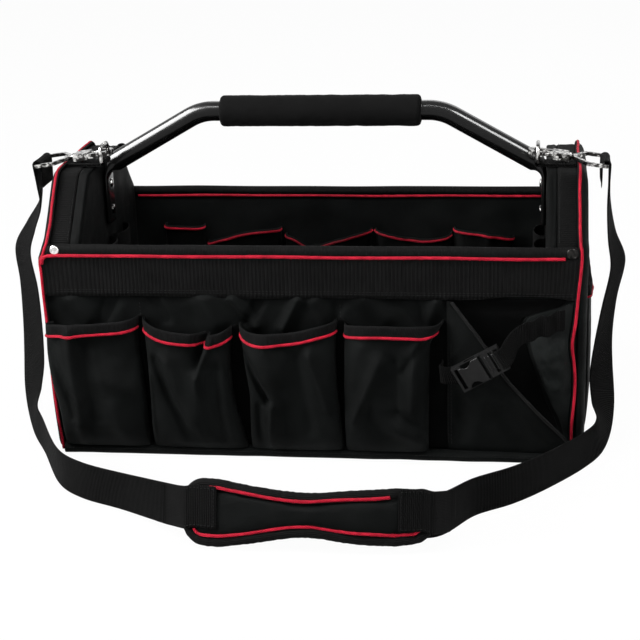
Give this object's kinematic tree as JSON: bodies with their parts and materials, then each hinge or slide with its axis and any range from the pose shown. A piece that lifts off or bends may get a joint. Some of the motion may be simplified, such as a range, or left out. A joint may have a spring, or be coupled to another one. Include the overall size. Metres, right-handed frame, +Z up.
{
  "type": "open-top tool bag",
  "caption": "Open-top fabric tool bag with a bent tube carry handle, outside and inside pockets, a buckled latch and a clipped shoulder strap with a pad.",
  "frame": {"origin": "centre of the bag's rectangular footprint, on the floor under the base panel", "axes": "+Z up, +X along the bag's length to the right as seen from the pocketed front, +Y from the front to the back"},
  "size_m": [0.6088, 0.4384, 0.3322],
  "materials": {
    "fabric": "coarse black woven polyester",
    "webbing": "ribbed black webbing",
    "red_piping": "red cord piping",
    "board": "stiffener board",
    "foam": "matte closed-cell foam",
    "black_paint": "glossy black powder coat",
    "nickel": "bright nickel plate",
    "black_plastic": "satin moulded plastic"
  },
  "bodies": {
    "root": {"base_panel": "fabric", "base_board": "board", "front_panel": "fabric", "back_panel": "fabric", "left_end_inner_panel": "fabric", "right_end_inner_panel": "fabric", "left_end_core": "foam", "right_end_core": "foam", "left_end_outer_panel": "fabric", "right_end_outer_panel": "fabric", "left_end_gusset": "webbing", "right_end_gusset": "webbing", "left_end_piping": "red_piping", "right_end_piping": "red_piping", "front_rim_webbing": "webbing", "back_rim_webbing": "webbing", "front_rim_piping": "red_piping", "back_rim_piping": "red_piping", "front_left_corner_rivet": "nickel", "front_right_corner_rivet": "nickel", "back_left_corner_rivet": "nickel", "back_right_corner_rivet": "nickel", "handle_tube": "black_paint", "handle_grip": "foam", "left_handle_rivet_lower": "nickel", "left_handle_rivet_upper": "nickel", "right_handle_rivet_lower": "nickel", "right_handle_rivet_upper": "nickel", "left_ring_tab": "webbing", "right_ring_tab": "webbing", "left_swivel_eye": "nickel", "right_swivel_eye": "nickel", "shoulder_strap": "webbing", "shoulder_pad": "fabric", "front_pocket_1": "fabric", "front_pocket_2": "fabric", "front_pocket_3": "fabric", "front_pocket_4": "fabric", "holster_pocket": "fabric", "inner_pocket_1": "fabric", "inner_pocket_2": "fabric", "inner_pocket_3": "fabric", "inner_pocket_4": "fabric", "inner_pocket_5": "fabric", "right_side_pocket": "fabric", "latch_socket": "black_plastic", "latch_tab": "webbing", "latch_strap": "webbing", "left_inner_loops": "webbing", "right_inner_loops": "webbing", "left_hang_loop": "webbing"},
    "left_ring": {"left_ring": "nickel"},
    "right_ring": {"right_ring": "nickel"},
    "left_hook": {"left_snap_hook": "nickel"},
    "right_hook": {"right_snap_hook": "nickel"},
    "left_bolt": {"left_hook_bolt": "nickel"},
    "right_bolt": {"right_hook_bolt": "nickel"},
    "latch_plug": {"latch_plug": "black_plastic", "plug_arm_upper": "black_plastic", "plug_arm_lower": "black_plastic"}
  },
  "joints": [
    {"name": "left_ring_hinge", "type": "hinge", "parent": "root", "child": "left_ring", "pos_m": [-0.2109, -0.032, 0.2744], "axis": [0, 1, 0], "range_deg": [-10, 10]},
    {"name": "right_ring_hinge", "type": "hinge", "parent": "root", "child": "right_ring", "pos_m": [0.2109, -0.032, 0.2744], "axis": [0, 1, 0], "range_deg": [-10, 10]},
    {"name": "left_hook_swivel", "type": "hinge", "parent": "root", "child": "left_hook", "pos_m": [-0.2109, -0.032, 0.283], "axis": [-0.9903, 0, -0.1392], "range_deg": [-10, 10]},
    {"name": "right_hook_swivel", "type": "hinge", "parent": "root", "child": "right_hook", "pos_m": [0.2109, -0.032, 0.283], "axis": [0.9903, 0, -0.1392], "range_deg": [-10, 10]},
    {"name": "left_bolt_slide", "type": "slide", "parent": "left_hook", "child": "left_bolt", "axis": [-0.9903, 0, -0.1392], "range_m": [0, 0.006], "stiffness_N_per_m": 150, "springref_m": -0.004},
    {"name": "right_bolt_slide", "type": "slide", "parent": "right_hook", "child": "right_bolt", "axis": [0.9903, 0, -0.1392], "range_m": [0, 0.006], "stiffness_N_per_m": 150, "springref_m": -0.004},
    {"name": "latch_release", "type": "slide", "parent": "root", "child": "latch_plug", "axis": [0.866, 0, 0.5], "range_m": [0, 0.0198], "deforming": ["latch_strap", "plug_arm_upper", "plug_arm_lower"]}
  ]
}
